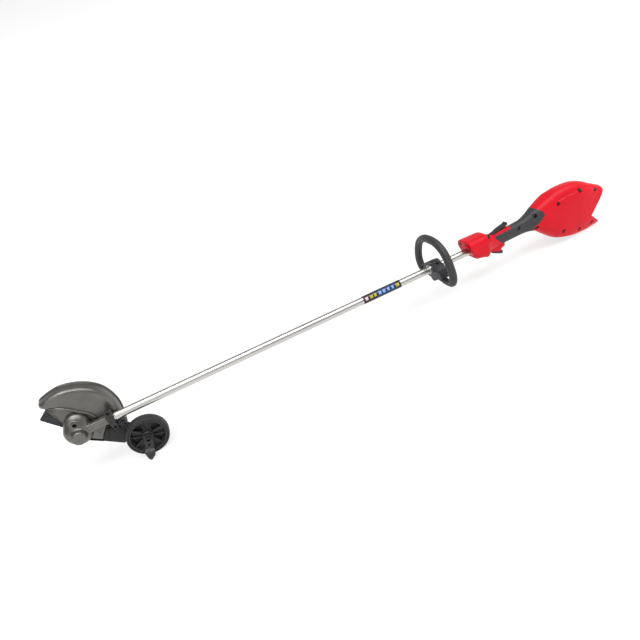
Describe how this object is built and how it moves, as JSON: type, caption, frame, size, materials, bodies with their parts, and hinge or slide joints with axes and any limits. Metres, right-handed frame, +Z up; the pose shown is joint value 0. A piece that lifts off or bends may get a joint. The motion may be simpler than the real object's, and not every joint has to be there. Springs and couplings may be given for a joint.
{
  "type": "stick lawn edger",
  "caption": "Battery stick lawn edger with a guarded steel edging blade, depth wheel, straight shaft, loop handle and a clamshell power head with trigger.",
  "frame": {"origin": "centre of the bounding box footprint, on the floor that the wheel and the power head foot rest on", "axes": "+X along the tool from the blade to the power head, +Y towards the blade side, +Z up"},
  "size_m": [1.8686, 0.2202, 0.2793],
  "materials": {
    "gear_casting": "satin, die cast and painted warm grey",
    "clamp_casting": "satin dark grey paint",
    "guard_shell": "satin warm grey paint",
    "blade_steel": "dark oxide, ground",
    "bright_steel": "zinc plated",
    "dark_fasteners": "black oxide",
    "shaft_alloy": "clear anodised, drawn",
    "red_plastic": "satin, fine moulded texture",
    "grip_rubber": "soft overmould, fine texture",
    "black_plastic": "fine moulded texture",
    "wheel_plastic": "satin moulded",
    "tyre_rubber": "moulded",
    "flap_rubber": "reinforced sheet",
    "copper_windings": "enamelled wire",
    "rotor_steel": "laminations",
    "circuit_board": "potted",
    "label_film": "plain bands"
  },
  "bodies": {
    "tool": {"gear_case": "gear_casting", "gear_case_cap": "gear_casting", "near_spindle_bearing": "bright_steel", "far_spindle_bearing": "bright_steel", "spindle_seal": "flap_rubber", "pinion_bearing": "bright_steel", "blade_guard": "guard_shell", "debris_flap": "flap_rubber", "flap_strip": "dark_fasteners", "shaft_clamp": "clamp_casting", "clamp_bolt_1": "dark_fasteners", "clamp_bolt_2": "dark_fasteners", "arm_pivot_bolt": "dark_fasteners", "shaft_tube": "shaft_alloy", "label_band": "label_film", "shaft_bush_1": "black_plastic", "shaft_bush_2": "black_plastic", "shaft_bush_3": "black_plastic", "front_housing_left": "red_plastic", "front_housing_right": "red_plastic", "grip_left": "grip_rubber", "grip_right": "grip_rubber", "rear_housing_left": "red_plastic", "rear_housing_right": "red_plastic", "battery_dock": "black_plastic", "battery_terminal_block": "black_plastic", "controller_board": "circuit_board", "trigger_pin": "bright_steel", "trigger_spring": "bright_steel", "trigger_switch": "black_plastic", "lock_pin": "bright_steel", "motor_stator": "copper_windings", "front_motor_bearing": "bright_steel", "rear_motor_bearing": "bright_steel"},
    "blade_unit": {"edger_blade": "blade_steel", "inner_flange": "bright_steel", "outer_flange": "bright_steel", "blade_nut": "bright_steel", "blade_spindle": "bright_steel", "bevel_gear": "bright_steel"},
    "drive_unit": {"drive_shaft": "bright_steel", "bevel_pinion": "bright_steel", "shaft_coupler": "bright_steel", "motor_rotor": "rotor_steel", "cooling_fan": "black_plastic"},
    "arm_unit": {"wheel_arm": "black_plastic", "wheel_axle": "dark_fasteners", "axle_nut": "bright_steel"},
    "wheel_unit": {"edger_wheel": "wheel_plastic", "wheel_tyre": "tyre_rubber", "wheel_bush": "black_plastic"},
    "lever_unit": {"depth_lever": "black_plastic"},
    "handle_unit": {"loop_handle": "grip_rubber", "handle_base": "black_plastic", "handle_cap": "black_plastic", "handle_bolt_1": "bright_steel", "handle_bolt_2": "bright_steel", "clamp_spacer": "shaft_alloy"},
    "trigger_unit": {"trigger": "black_plastic"},
    "lock_unit": {"lock_lever": "black_plastic"}
  },
  "joints": [
    {"name": "blade_spin", "type": "hinge", "parent": "tool", "child": "blade_unit", "pos_m": [-0.85582, 0, 0.14644], "axis": [0, 1, 0], "continuous": true},
    {"name": "drive_spin", "type": "hinge", "parent": "tool", "child": "drive_unit", "pos_m": [-0.05608, 0, 0.12602], "axis": [0.9997, 0, -0.0255], "continuous": true},
    {"name": "depth_swing", "type": "hinge", "parent": "tool", "child": "arm_unit", "pos_m": [-0.74613, -0.008, 0.11313], "axis": [0, 1, 0], "range_deg": [-14, 10]},
    {"name": "wheel_roll", "type": "hinge", "parent": "arm_unit", "child": "wheel_unit", "pos_m": [-0.70239, -0.027, 0.0595], "axis": [0, 1, 0], "continuous": true},
    {"name": "lever_turn", "type": "hinge", "parent": "arm_unit", "child": "lever_unit", "pos_m": [-0.70239, -0.047, 0.0595], "axis": [0, -1, 0], "range_deg": [0, 100]},
    {"name": "handle_slide", "type": "slide", "parent": "tool", "child": "handle_unit", "axis": [0.9997, 0, -0.0255], "range_m": [-0.09, 0.06]},
    {"name": "trigger_pull", "type": "hinge", "parent": "tool", "child": "trigger_unit", "pos_m": [0.50313, 0, 0.08774], "axis": [0, -1, 0], "range_deg": [0, 11], "stiffness_Nm_per_rad": 0.4, "springref_deg": -8.59, "deforming": ["trigger_spring"]},
    {"name": "lock_press", "type": "hinge", "parent": "tool", "child": "lock_unit", "pos_m": [0.51021, 0, 0.13007], "axis": [0, 1, 0], "range_deg": [0, 6], "stiffness_Nm_per_rad": 0.4, "springref_deg": -8.59}
  ],
  "couplings": [
    {"joint": "drive_spin", "follows": "blade_spin", "ratio": 1.5}
  ]
}
